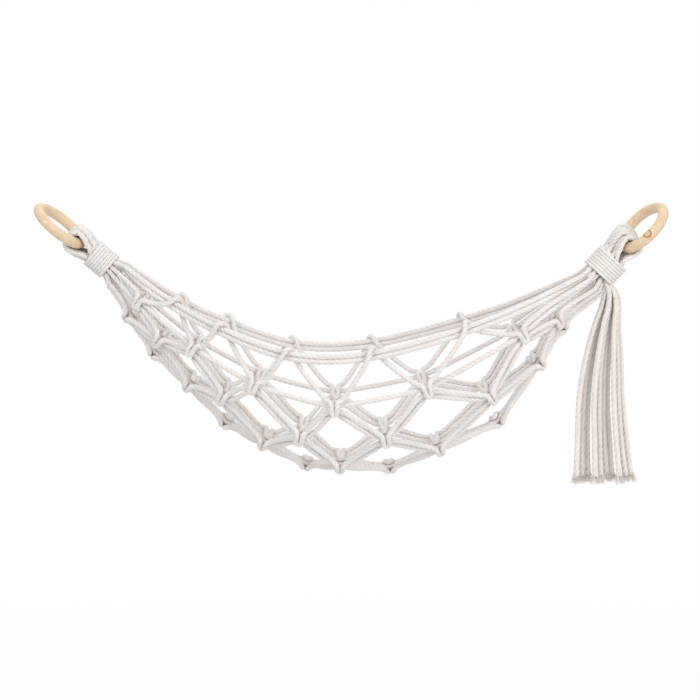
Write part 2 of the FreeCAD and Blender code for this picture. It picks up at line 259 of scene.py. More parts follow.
def net_part(i):
    """Points of one cord of the net, from its first knot to its last."""
    points = []
    tied = [c for c in range(LAST + 1) if knot_place(c, i)]
    spots = {c: belly_point(c, knot_place(c, i)[0]) for c in tied}
    for c in range(LAST + 1):
        if c in tied:
            m = tied.index(c)
            before = spots[tied[m - 1]] if m else spots[c]
            after = spots[tied[m + 1]] if c != tied[-1] else spots[c]
            points += knot_points(c, *knot_place(c, i), before, after)
        elif c == LAST:
            points.append(belly_point(c, math.pi * (i + 0.5) / NET))
        elif i in (0, NET - 1):
            points += hitch_points(c, -1 if i == 0 else 1)
    return points


def rim_part(side, level):
    """Points of one cord of a rim."""
    frames = [rim_frame(c, side) for c in range(LAST + 1)]
    return [o + up * (level * PITCH) for o, along, up, out in frames]


STRANDS = [("near_rim_strand_1", rim_part(-1, RIM_HIGH)), ("near_rim_strand_2", rim_part(-1, RIM_LOW))]
STRANDS += [("net_strand_%02d" % (i + 1), net_part(i)) for i in range(NET)]
STRANDS += [("far_rim_strand_1", rim_part(1, RIM_LOW)), ("far_rim_strand_2", rim_part(1, RIM_HIGH))]


def face_places(end, targets, share):
    """Where the cords leave a bunch, flat on its face: the nearest knots drawn in, in two rows."""
    flat = np.array([(q[1], (q - end["face"]).dot(end["square"])) for q in targets])
    mid = (flat[:, 1].max() + flat[:, 1].min()) / 2
    rows = np.arange(len(flat))
    run = flat[np.minimum(rows + 1, len(flat) - 1)] - flat[np.maximum(rows - 1, 0)]
    out = ROW_OFFSET * PITCH / np.linalg.norm(run, axis=1) * np.where(rows % 2 == 0, 1, -1)
    return np.c_[flat[:, 0] * share + run[:, 1] * out, (flat[:, 1] - mid) * share - run[:, 0] * out]


def at_end(end, along, flat):
    """Points at a distance along the pull, with flat places (y, square) about it."""
    flat = np.atleast_2d(flat)
    return end["wood"] + end["pull"] * along + flat[:, :1] * Y + flat[:, 1:] * end["square"]


def packed_places(count_rings, radius):
    """Places of cords squeezed in a round bunch: rings of them about the middle."""
    places = [np.zeros((1, 2))]
    for k, count in enumerate(count_rings, 1):
        a = TAU * (np.arange(count) + 0.5 * k) / count
        places.append(np.c_[np.cos(a), np.sin(a)] * (radius * k / len(count_rings)))
    return np.concatenate(places)


def matched(places, wanted):
    """The places in the order that leads each cord most directly on: pairs change over while that helps."""
    order = list(range(len(places)))
    cost = ((wanted[:, None] - places[None]) ** 2).sum(2)
    better = True
    while better:
        better = False
        for i, j in itertools.combinations(range(len(wanted)), 2):
            now = cost[i, order[i]] + cost[j, order[j]]
            if cost[i, order[j]] + cost[j, order[i]] < now - 1e-6:
                order[i], order[j] = order[j], order[i]
                better = True
    return places[order]


BUNCH_RINGS, BUNCH_TOP, BUNCH_PHASE = (6, 13), NECK_TOP + 3.0, 1.9
SQUEEZED_D, EASE_RUN, FACE_PULL, FOOT_PULL = CORD_D + 0.2, 30.0, 0.4, 0.6
SQUEEZED_R = SQUEEZED_D / 2
MOUTH_IN, MOUTH_OUT = NECK_LOW - 7.0, NECK_LOW - 0.5
TASSEL_ROOM, TASSEL_SHIFT = 2.4, 2.2


def bunch_routes():
    """Whole routes of the twenty strands: through the left winding, the net and the right winding."""
    flats = [face_places(LEFT, [p[0] for n, p in STRANDS], LEFT_FACE_SHARE),
             face_places(RIGHT, [p[-1] for n, p in STRANDS], RIGHT_FACE_SHARE)]
    left = matched(packed_places(BUNCH_RINGS, LEFT_WAIST - SQUEEZED_R), flats[0] * FACE_PULL)
    right = packed_places(BUNCH_RINGS, RIGHT_WAIST - SQUEEZED_R - TASSEL_ROOM) + (0.0, TASSEL_SHIFT)
    right = matched(right, flats[1] * FACE_PULL)
    routes = []
    for j, (name, points) in enumerate(STRANDS):
        inner = [at_end(LEFT, a, left[j])[0] for a in (BUNCH_TOP, MOUTH_IN, MOUTH_OUT)]
        inner += [at_end(LEFT, a, flats[0][j])[0] for a in (NECK_FACE, NECK_FACE + END_RUN)]
        outer = [at_end(RIGHT, a, flats[1][j])[0] for a in (NECK_FACE + END_RUN, NECK_FACE)]
        outer += [at_end(RIGHT, a, right[j])[0] for a in (MOUTH_OUT, MOUTH_IN, BUNCH_TOP)]
        routes.append((name, np.array(inner + list(points) + outer)))
    return routes


LOOP_D, LOOK_SLACK, SIDE_SLACK, LAYER_STEP, LOOP_PHASE = 4.75, 0.4, 0.55, 3.9, 1.3
LEFT_NEST, RIGHT_NEST = 0.5, 1.5
LEG_DEPTHS = (NECK_TOP + 5.0, NECK_TOP + 10.0)


def loop_routes(end, outer_shift):
    """Cords folded over the wood, down into the winding: an inner layer and an outer one nested on it."""
    loops, feet = [], []
    for layer, count in enumerate(LOOP_LAYERS):
        for n in range(count):
            y = (n - (count - 1) / 2 + outer_shift * layer) * PITCH
            back = RING_R - math.sqrt(RING_R * RING_R - y * y)
            top = WOOD_R + LOOK_SLACK + LOOP_D / 2 + layer * LAYER_STEP
            off = top + SIDE_SLACK * back * (1 - layer)
            leg = PITCH + layer * LAYER_STEP
            base = end["wood"] + end["across"] * y
            for s in (1, -1):
                out = end["lift"] * s
                loops.append([base - end["pull"] * (top + back) + out * off,
                              base + end["pull"] * (CORD_D / 2 - back) + out * off,
                              base + end["pull"] * (NECK_TOP - CORD_D / 2) + out * leg,
                              base + end["pull"] * NECK_TOP + out * leg])
                foot = loops[-1][3] - end["wood"]
                feet.append((foot.dot(Y), foot.dot(end["square"])))
    slots = matched(packed_places(BUNCH_RINGS, end["waist"] - SQUEEZED_R), np.array(feet) * FOOT_PULL)
    legs = [loop + [at_end(end, a, slot)[0] for a in LEG_DEPTHS] for loop, slot in zip(loops, slots)]
    return [np.array(legs[k][::-1] + legs[k + 1]) for k in range(0, len(legs), 2)]


def wrap_route(end):
    """Winding: a helix about the pull whose two ends are tucked in under the turns."""
    r = (end["waist"] + STRAND_GAP + THREAD_D / 2) / math.cos(math.pi / WRAP_POINTS) ** WRAP_BULGE
    k = np.arange(WRAP_TURNS * WRAP_POINTS + 1)
    a = TAU * k / WRAP_POINTS
    along = NECK_TOP + NECK_COLLAR + WRAP_LEAD + (THREAD_D + THREAD_GAP) * k / WRAP_POINTS
    flat = np.c_[np.sin(a), np.cos(a)] * r
    points = end["wood"] + along[:, None] * end["pull"] + flat[:, :1] * Y + flat[:, 1:] * end["square"]
    (far, near), (deep, low) = TUCK_SIDES, TUCK_SINKS
    start = [at_end(end, along[0] + TUCK_BACK, (-far, r - deep)), at_end(end, along[0], (-near, r - low))]
    finish = [at_end(end, along[-1], (near, r - low)), at_end(end, along[-1] - TUCK_BACK, (far, r - deep))]
    return np.concatenate(start + [points] + finish)


TASSEL_AXIS = RIGHT["wood"] + RIGHT["pull"] * KNUCKLE_ALONG - RIGHT["square"] * KNUCKLE_OUT
TOP_DROPS, TOP_PITCHES, TOP_SHIFTS = (5.0, 14.0), (1.6, 2.05), (1.6, 1.3)
WAY_DEPTHS, WAY_SHARES = (NECK_LOW - 18.0, NECK_LOW - 8.0, NECK_LOW - 1.0), (0.25, 0.7, 1.0)
WAY_WIDTH, WAY_OFF, WAY_STEP, WAY_LEAD = 0.9, -9.2, 0.6, 0.6
SIDE_WAVE, DEPTH_WAVE = (2.1, 2.4), (1.3, 1.9)
ROW_SPREAD, ROW_GROWTH = 1.12, 0.07


def tail_routes():
    """Tails side by side under the winding, then hanging, and the way each comes down out of it."""
    tails, ways = [], []
    for count in TAIL_COUNTS:
        for n in range(count):
            j = len(tails)
            y, side = (n - (count - 1) / 2) * PITCH, j - (TAILS - 1) / 2
            points = [TASSEL_AXIS + np.array([side * p + x, y, -drop])
                      for drop, p, x in zip(TOP_DROPS, TOP_PITCHES, TOP_SHIFTS)]
            for m, drop in enumerate(TAIL_DROPS):
                x = side * TAIL_PITCH * TAIL_SPREADS[m] + TAIL_SHIFTS[m]
                x += TAIL_SWAY * math.sin(SIDE_WAVE[0] * j + SIDE_WAVE[1] * m)
                push = y * (ROW_SPREAD + ROW_GROWTH * m)
                push += TAIL_SWAY * math.cos(DEPTH_WAVE[0] * j + DEPTH_WAVE[1] * m)
                points.append(TASSEL_AXIS + np.array([x, push, -drop]))
            tails.append(np.array(points))
            mouth = np.array([y * WAY_WIDTH, WAY_OFF - WAY_STEP * side])
            way = [at_end(RIGHT, a, mouth * share)[0] for a, share in zip(WAY_DEPTHS, WAY_SHARES)]
            ways.append(np.array(way + [points[0] + (points[0] - points[1]) * WAY_LEAD]))
    return tails, ways


# Surfaces

PLIES, UV_PER_M, ANY_SIDE = 3, 100.0, (0.31, 0.27, 0.91)


def smooth_line(route):
    """Points, in metres, read from the NURBS line whose control points are the route's own points."""
    curve = bpy.data.curves.new("route", "CURVE")
    curve.dimensions = "3D"
    spline = curve.splines.new("NURBS")
    spline.points.add(len(route) - 1)
    spline.points.foreach_set("co", np.c_[np.asarray(route) * MM, np.ones(len(route))].ravel())
    spline.order_u = 3
    spline.use_endpoint_u = True
    spline.resolution_u = 12
    holder = bpy.data.objects.new("route", curve)
    mesh = bpy.data.meshes.new_from_object(holder)
    line = np.empty(len(mesh.vertices) * 3)
    mesh.vertices.foreach_get("co", line)
    bpy.data.objects.remove(holder)
    bpy.data.meshes.remove(mesh)
    bpy.data.curves.remove(curve)
    return line.reshape(-1, 3)


def lengths(line):
    """Distance of each point along its line."""
    return np.r_[0.0, np.cumsum(np.linalg.norm(np.diff(line, axis=0), axis=1))]


def even_stations(line, step):
    """The same line with its stations a step apart."""
    s = lengths(line)
    even = np.linspace(0.0, s[-1], max(4, int(round(s[-1] / step)) + 1))
    return np.stack([np.interp(even, s, line[:, k]) for k in range(3)], axis=1)


def carried_frames(line):
    """Tangents, and two normals carried along the line without turning about it."""
    t = unit(np.gradient(line, axis=0))
    n = np.empty_like(t)
    n[0] = unit(np.cross(t[0], ANY_SIDE))
    for k in range(1, len(t)):
        m = n[k - 1] - t[k] * n[k - 1].dot(t[k])
        n[k] = m / math.sqrt(m.dot(m))
    return t, n, np.cross(t, n)


def rope(line, dia, lay, groove, sides, phase=0.0):
    """Twisted cord of three plies along a line.

    At each station the outline is r(a) = R (1 - g (1 - |cos 1.5 a|)), which has three round lobes and
    three sharp grooves, and it is turned by one full turn for each lay length along the line. Returns the
    grid of points, turns about the line and lengths along it for the yarn pattern, and how far out on a
    ply each point is.
    """
    s = lengths(line)
    t, n, b = carried_frames(line)
    a = TAU * np.arange(sides + 1) / sides
    ply = np.abs(np.cos(PLIES / 2 * a[:-1]))
    radius = np.broadcast_to(np.asarray(dia) / 2, s.shape)[:, None]
    depth = np.broadcast_to(np.asarray(groove), s.shape)[:, None]
    spin = a[None, :] + (TAU * s / lay + phase)[:, None]
    r = radius * (1 - depth * (1 - ply))
    c, d = np.cos(spin[:, :-1]) * r, np.sin(spin[:, :-1]) * r
    grid = line[:, None] + c[..., None] * n[:, None] + d[..., None] * b[:, None]
    return {"grid": grid, "turn": spin / TAU, "along": s, "ply": np.broadcast_to(ply, grid.shape[:2])}


def cut(tube, first, last):
    """The stretch of a tube between two stations, both kept."""
    return {k: v[first:last + 1] for k, v in tube.items()}


def closed_tubes(name, tubes, material):
    """One object from closed tubes: quads between stations, and a fan to a middle point at each end."""
    co, ply, loops, starts, uv = [], [], [], [], []
    base = corner = 0
    for tube in tubes:
        grid = tube["grid"]
        rows, sides = grid.shape[:2]
        place = base + np.arange(rows * sides).reshape(rows, sides)
        after = np.roll(place, -1, axis=1)
        quads = np.stack([place[:-1], after[:-1], after[1:], place[1:]], axis=2).reshape(-1, 4)
        u, v = tube["turn"], np.broadcast_to(tube["along"][:, None], tube["turn"].shape)
        flat = np.stack([u, v * UV_PER_M], axis=2)
        quad_uv = np.stack([flat[:-1, :-1], flat[:-1, 1:], flat[1:, 1:], flat[1:, :-1]], axis=2)
        ends = base + rows * sides + np.arange(2)
        head = np.stack([np.full(sides, ends[0]), after[0], place[0]], axis=1)
        tail = np.stack([np.full(sides, ends[1]), place[-1], after[-1]], axis=1)
        head_uv = np.stack([flat[0, :-1], flat[0, 1:], flat[0, :-1]], axis=1).reshape(-1, 2)
        tail_uv = np.stack([flat[-1, :-1], flat[-1, :-1], flat[-1, 1:]], axis=1).reshape(-1, 2)
        co += [grid.reshape(-1, 3), grid[:1].mean(axis=1), grid[-1:].mean(axis=1)]
        # Each end's middle point gets ply 0, so the painted groove shade darkens the middle of each cut end
        ply += [tube["ply"].ravel(), np.zeros(2)]
        loops += [quads.ravel(), head.ravel(), tail.ravel()]
        uv += [quad_uv.reshape(-1, 2), head_uv, tail_uv]
        starts += [corner + 4 * np.arange(len(quads)), corner + quads.size + 3 * np.arange(2 * sides)]
        corner += quads.size + 6 * sides
        base += rows * sides + 2
    co, loops, starts = np.concatenate(co), np.concatenate(loops), np.concatenate(starts)
    mesh = bpy.data.meshes.new(name)
    mesh.vertices.add(len(co))
    mesh.vertices.foreach_set("co", co.astype(np.float32).ravel())
    mesh.loops.add(len(loops))
    mesh.loops.foreach_set("vertex_index", loops.astype(np.int32))
    mesh.polygons.add(len(starts))
    mesh.polygons.foreach_set("loop_start", starts.astype(np.int32))
    mesh.polygons.foreach_set("use_smooth", np.ones(len(starts), dtype=bool))
    mesh.update(calc_edges=True)
    lay = mesh.uv_layers.new(name="lay")
    lay.data.foreach_set("uv", np.concatenate(uv).astype(np.float32).ravel())
    crest = mesh.attributes.new("ply", "FLOAT", "POINT")
    crest.data.foreach_set("value", np.concatenate(ply).astype(np.float32))
    mesh.validate()
    mesh.materials.append(material)
    piece = bpy.data.objects.new(name, mesh)
    bpy.context.scene.collection.objects.link(piece)
    return piece


def on_basket(piece, *nodes):
    """The piece moves with the basket and stands for these nodes."""
    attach(piece, "basket")
    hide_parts(*nodes)
    return piece


def bunch_ropes(sizes):
    """Each strand's rope, cut where it leaves the left bunch and where it enters the right one."""
    parts = []
    for j, (name, route) in enumerate(bunch_routes()):
        line = even_stations(smooth_line(route), sizes.step)
        from_left = (line - LEFT["wood"] * MM) @ LEFT["pull"]
        from_right = (line - RIGHT["wood"] * MM) @ RIGHT["pull"]
        near = np.minimum(from_left, from_right)
        ease = np.clip((near - NECK_LOW * MM) / (EASE_RUN * MM), 0, 1)
        dia = SQUEEZED_D * MM + (sizes.cord - SQUEEZED_D * MM) * ease * ease * (3 - 2 * ease)
        tube = rope(line, dia, sizes.lay, sizes.groove, sizes.sides, phase=BUNCH_PHASE * j)
        half = len(line) // 2
        first = int(np.argmax(from_left[:half] > NECK_FACE * MM))
        last = len(line) - 1 - int(np.argmax(from_right[::-1][:half] > NECK_FACE * MM))
        parts.append((name, cut(tube, 0, first), cut(tube, first, last), cut(tube, last, len(line) - 1)))
    return parts


# Loose yarns: metres, and shares of the cord's width or of the yarn's length
YARN_ROWS, YARN_SIDES, YARN_SEED, YARN_ACROSS = 7, 4, 40, (0.2, 0.9, 0.1)
YARN_R, YARN_TAPER, YARN_SINK, YARN_BOW, YARN_WAVE = 0.00036, 0.5, 0.002, 0.003, 0.0005
YARN_ROUND, YARN_MIDDLE, YARN_LENGTHS, YARN_WAVES = 0.6, 0.05, (0.55, 1.25), (2, 5)


def loose_yarns(tip, away, sizes, seed):
    """Yarns at a cut end: thin tapered tubes that leave the cord's end and bend outwards.

    Yarn k starts at a place in the cord's round and follows p(t) = start + L t away + splay t^2, with its
    own length, splay and a slow wave; its outline is a four-sided ring that narrows to half its width.
    """
    rng = np.random.default_rng(seed)
    count, rows, sides = sizes.yarns, YARN_ROWS, YARN_SIDES
    side = unit(np.cross(away, YARN_ACROSS))
    other = np.cross(away, side)
    a = rng.uniform(0, TAU, count)
    spread = np.sqrt(rng.uniform(YARN_MIDDLE, 1.0, count))
    out = np.cos(a)[:, None] * side + np.sin(a)[:, None] * other
    start = tip - away * YARN_SINK + out * (spread * sizes.cord * YARN_ROUND)[:, None]
    size = sizes.fray * rng.uniform(*YARN_LENGTHS, count)
    t = np.linspace(0, 1, rows)
    pace = rng.uniform(*YARN_WAVES, count)[:, None]
    wave = np.sin(t[None] * pace + rng.uniform(0, TAU, count)[:, None]) * YARN_WAVE
    bow = spread[:, None] * YARN_BOW * t[None] ** 2
    line = start[:, None] + (size[:, None] * t[None])[..., None] * away
    line = line + (bow + wave * t[None])[..., None] * out[:, None] + (wave * t[None])[..., None] * other
    ring = TAU * np.arange(sides + 1) / sides
    width = YARN_R * (1 - YARN_TAPER * t)
    around = np.cos(ring[:-1])[:, None] * side + np.sin(ring[:-1])[:, None] * other
    grid = line[:, :, None] + width[None, :, None, None] * around[None, None]
    turn = np.broadcast_to(ring / TAU, (rows, sides + 1))
    return [{"grid": g, "turn": turn + k / count, "along": size[k] * t, "ply": np.ones((rows, sides))}
            for k, g in enumerate(grid)]


# Materials

def add_node(tree, kind, **values):
    """A node with its properties set by name, and its inputs by in_name."""
    node = tree.nodes.new(kind)
    for key, value in values.items():
        if key.startswith("in_"):
            node.inputs[key[3:].replace("_", " ")].default_value = value
        else:
            setattr(node, key, value)
    return node


def new_group(name, inputs, outputs):
    """An empty shader group with named sockets."""
    group = bpy.data.node_groups.new(name, "ShaderNodeTree")
    for way, sockets in (("INPUT", inputs), ("OUTPUT", outputs)):
        for label, kind in sockets:
            group.interface.new_socket(label, in_out=way, socket_type="NodeSocket" + kind)
    return group, group.nodes.new("NodeGroupInput"), group.nodes.new("NodeGroupOutput")


def feed(tree, socket, value):
    """Sets a socket to a number or colour, or links another socket to it."""
    if isinstance(value, (int, float, tuple)):
        socket.default_value = value
    else:
        tree.links.new(value, socket)


def math_node(tree, operation, *values):
    """A Math node fed by sockets or numbers."""
    node = add_node(tree, "ShaderNodeMath", operation=operation)
    for socket, value in zip(node.inputs, values):
        feed(tree, socket, value)
    return node.outputs[0]


def mix_colour(tree, factor, a, b, blend="MIX"):
    """A colour Mix node."""
    node = add_node(tree, "ShaderNodeMix", data_type="RGBA", blend_type=blend)
    for k, value in ((0, factor), (6, a), (7, b)):
        feed(tree, node.inputs[k], value)
    return node.outputs[2]


def ranged(tree, value, low, high, to_low, to_high):
    """A Map Range node's value."""
    node = add_node(tree, "ShaderNodeMapRange", in_From_Min=low, in_From_Max=high,
                    in_To_Min=to_low, in_To_Max=to_high)
    tree.links.new(value, node.inputs["Value"])
    return node.outputs[0]


def noise_at(tree, coordinates, scale, detail=3.0, roughness=0.55):
    """A Noise Texture's value on given coordinates."""
    node = add_node(tree, "ShaderNodeTexNoise", in_Scale=scale, in_Detail=detail, in_Roughness=roughness)
    tree.links.new(coordinates, node.inputs["Vector"])
    return node.outputs["Fac"]


# Cotton: scales of the patterns in 1/m, then shares and levels
BLOTCH_SCALE, FUZZ_SCALE, WANDER_SCALE, WANDER, FUZZ = 90.0, 2600.0, 420.0, 9.0, 0.9
CREST_POWER, LINE_SHADE, COTTON_ROUGH = 0.55, (0.22, 0.78), (0.2, 0.76)
BLOTCH_RANGE, BLOTCH_GREEN, BLOTCH_BLUE = (0.3, 0.75, 0.94, 1.0), 1.1, 1.25
CORD_YARNS, THREAD_YARNS = 27.0, 15.0


def yarn_group():
    """Cotton yarns: fine lines along the cord, painted shade down the grooves between plies and between the
    yarn lines, soft blotches and fuzz.
    """
    name = "Cotton yarns"
    if name in bpy.data.node_groups:
        return bpy.data.node_groups[name]
    group, given, made = new_group(
        name, [("Crest", "Color"), ("Groove", "Color"), ("Yarns", "Float")],
        [("Colour", "Color"), ("Roughness", "Float"), ("Height", "Float")])
    uv = add_node(group, "ShaderNodeUVMap", uv_map="lay")
    split = add_node(group, "ShaderNodeSeparateXYZ")
    group.links.new(uv.outputs[0], split.inputs[0])
    place = add_node(group, "ShaderNodeTexCoord").outputs["Object"]
    ply = add_node(group, "ShaderNodeAttribute", attribute_name="ply").outputs["Fac"]
    slow, fine = noise_at(group, place, BLOTCH_SCALE), noise_at(group, place, FUZZ_SCALE, 2.0)
    wander = math_node(group, "MULTIPLY", noise_at(group, place, WANDER_SCALE), WANDER)
    turns = math_node(group, "MULTIPLY", split.outputs[0], given.outputs["Yarns"])
    turns = math_node(group, "MULTIPLY", turns, TAU)
    lines = math_node(group, "SINE", math_node(group, "ADD", turns, wander))
    lines = math_node(group, "MULTIPLY_ADD", lines, 0.5, 0.5)
    # Painted shade: the colour goes from Crest towards the Groove colour down between the plies and, by
    # LINE_SHADE, between the yarn lines
    crest = math_node(group, "POWER", ply, CREST_POWER)
    shade = math_node(group, "MULTIPLY", crest, math_node(group, "MULTIPLY_ADD", lines, *LINE_SHADE))
    colour = mix_colour(group, shade, given.outputs["Groove"], given.outputs["Crest"])
    blotch = ranged(group, slow, *BLOTCH_RANGE)
    tint = add_node(group, "ShaderNodeCombineColor")
    group.links.new(blotch, tint.inputs[0])
    group.links.new(math_node(group, "POWER", blotch, BLOTCH_GREEN), tint.inputs[1])
    group.links.new(math_node(group, "POWER", blotch, BLOTCH_BLUE), tint.inputs[2])
    group.links.new(mix_colour(group, 1.0, colour, tint.outputs[0], "MULTIPLY"), made.inputs["Colour"])
    group.links.new(math_node(group, "MULTIPLY_ADD", fine, *COTTON_ROUGH), made.inputs["Roughness"])
    height = math_node(group, "ADD", lines, math_node(group, "MULTIPLY", fine, FUZZ))
    group.links.new(height, made.inputs["Height"])
    return group


def finished_material(name, group, values, bump, distance, **shader):
    """A Principled material with colour, roughness and bump from a group, and constants on the shader."""
    material = bpy.data.materials.new(name)
    material.use_nodes = True
    tree = material.node_tree
    bsdf = tree.nodes["Principled BSDF"]
    node = add_node(tree, "ShaderNodeGroup", node_tree=group)
    for key, value in values.items():
        node.inputs[key].default_value = value
    for key, value in shader.items():
        bsdf.inputs[key.replace("_", " ")].default_value = value
    relief = add_node(tree, "ShaderNodeBump", in_Strength=bump, in_Distance=distance)
    tree.links.new(node.outputs["Height"], relief.inputs["Height"])
    tree.links.new(relief.outputs[0], bsdf.inputs["Normal"])
    tree.links.new(node.outputs["Colour"], bsdf.inputs["Base Color"])
    tree.links.new(node.outputs["Roughness"], bsdf.inputs["Roughness"])
    return material


def cotton(name, crest, groove, yarns):
    """Matt cotton cord."""
    if name in bpy.data.materials:
        return bpy.data.materials[name]
    # groove is the painted shade colour for the grooves between plies and between the yarn lines
    values = {"Crest": (*crest, 1.0), "Groove": (*groove, 1.0), "Yarns": yarns}
    return finished_material(name, yarn_group(), values, bump=0.55, distance=0.0003,
                             Specular_IOR_Level=0.2, Sheen_Weight=0.2, Sheen_Roughness=0.6)


# Wood: scales of the patterns in 1/m, then shares and levels
BAND_SCALE, FLECK_SCALE, SOFT_SCALE, GRAIN_STRETCH = 330.0, 1900.0, 45.0, (0.12, 1.0, 1.0)
BAND_RANGE, FLECK_RANGE = (0.36, 0.68, 0.0, 0.55), (0.60, 0.72, 0.0, 0.38)
SOFT_BASE, FLECK_DEPTH, WOOD_ROUGH = 0.4, 1.5, (0.25, 0.42)
LEFT_GRAIN, RIGHT_GRAIN = (0.2, 0.7, 0.5), (0.4, -0.8, 1.1)


def wood_group():
    """Turned hardwood: broad soft bands and short dark flecks, on coordinates laid along the grain."""
    name = "Turned wood"
    if name in bpy.data.node_groups:
        return bpy.data.node_groups[name]
    group, given, made = new_group(
        name, [("Early", "Color"), ("Late", "Color"), ("Grain", "Vector")],
        [("Colour", "Color"), ("Roughness", "Float"), ("Height", "Float")])
    place = add_node(group, "ShaderNodeTexCoord").outputs["Object"]
    lay = add_node(group, "ShaderNodeMapping", vector_type="POINT")
    group.links.new(place, lay.inputs["Vector"])
    group.links.new(given.outputs["Grain"], lay.inputs["Rotation"])
    stretch = add_node(group, "ShaderNodeVectorMath", operation="MULTIPLY")
    stretch.inputs[1].default_value = GRAIN_STRETCH
    group.links.new(lay.outputs[0], stretch.inputs[0])
    grain = stretch.outputs[0]
    bands = noise_at(group, grain, BAND_SCALE, 4.0, 0.6)
    soft = noise_at(group, place, SOFT_SCALE, 2.0)
    band = ranged(group, bands, *BAND_RANGE)
    fleck = ranged(group, noise_at(group, grain, FLECK_SCALE, 2.0, 0.5), *FLECK_RANGE)
    amount = math_node(group, "MAXIMUM", band, fleck)
    amount = math_node(group, "MULTIPLY", amount, math_node(group, "ADD", soft, SOFT_BASE))
    colour = mix_colour(group, amount, given.outputs["Early"], given.outputs["Late"])
    group.links.new(colour, made.inputs["Colour"])
    group.links.new(math_node(group, "MULTIPLY_ADD", amount, *WOOD_ROUGH), made.inputs["Roughness"])
    pores = math_node(group, "MULTIPLY", fleck, FLECK_DEPTH)
    group.links.new(math_node(group, "SUBTRACT", bands, pores), made.inputs["Height"])
    return group


PLUG_R, PLUG_ANGLE, PLUG_TURN = 3.7, 62.0, 6.0
PLUG_RAMP = ((0.0, (0.70, 0.56, 0.42)), (0.10, (0.96, 0.87, 0.75)), (0.35, (0.96, 0.87, 0.75)),
             (0.41, (0.55, 0.40, 0.25)), (0.55, (0.55, 0.40, 0.25)), (0.63, (1.0, 1.0, 1.0)))


def plugged_knot(material):
    """A small round plug in the right ring's near side: a dark edge and a lighter middle, by distance."""
    tree = material.node_tree
    bsdf = tree.nodes["Principled BSDF"]
    plain = bsdf.inputs["Base Color"].links[0].from_socket
    a, turn = math.radians(PLUG_ANGLE), math.radians(PLUG_TURN)
    outwards = RIGHT["pull"] * math.sin(turn) - RIGHT["across"] * math.cos(turn)
    middle = RIGHT["ring"] + outwards * (RING_R + WOOD_R * math.cos(a))
    middle = middle + RIGHT["lift"] * (WOOD_R * math.sin(a))
    place = add_node(tree, "ShaderNodeTexCoord").outputs["Object"]
    far = add_node(tree, "ShaderNodeVectorMath", operation="DISTANCE")
    far.inputs[1].default_value = tuple(middle * MM)
    tree.links.new(place, far.inputs[0])
    edge = add_node(tree, "ShaderNodeValToRGB")
    share = math_node(tree, "MULTIPLY", far.outputs["Value"], 1 / (2 * PLUG_R * MM))
    tree.links.new(share, edge.inputs[0])
    ramp = edge.color_ramp
    ramp.elements[0].color = (*PLUG_RAMP[0][1], 1)
    ramp.elements[1].position, ramp.elements[1].color = PLUG_RAMP[-1][0], (*PLUG_RAMP[-1][1], 1)
    for position, tint in PLUG_RAMP[1:-1]:
        ramp.elements.new(position).color = (*tint, 1)
    tree.links.new(mix_colour(tree, 1.0, plain, edge.outputs[0], "MULTIPLY"), bsdf.inputs["Base Color"])


# Stage: metres, degrees and watts

TARGET, DISTANCE, ELEVATION = (0.28975, 0.0, -0.1306), 2.5, 4.0
VIEW_WIDTH, SENSOR = 0.665, 36.0
LAMPS = (("key", (-0.9, -1.7, 1.5), 1.3, 22.0), ("fill", (1.7, -1.5, 0.5), 1.3, 16.5),
         ("top", (0.3, 0.9, 1.7), 1.5, 11.5))
WORLD_LIGHT, WORLD_SEEN = 0.62, 1.0
FLOOR_MIDDLE, FLOOR_REACH, FLOOR_RINGS, FLOOR_SPOKES = (0.29, 0.0, -0.62), 9.0, 24, 64
FLOOR_FADE = (0.2, 1.6, 0.8, 1.0)


# Operators

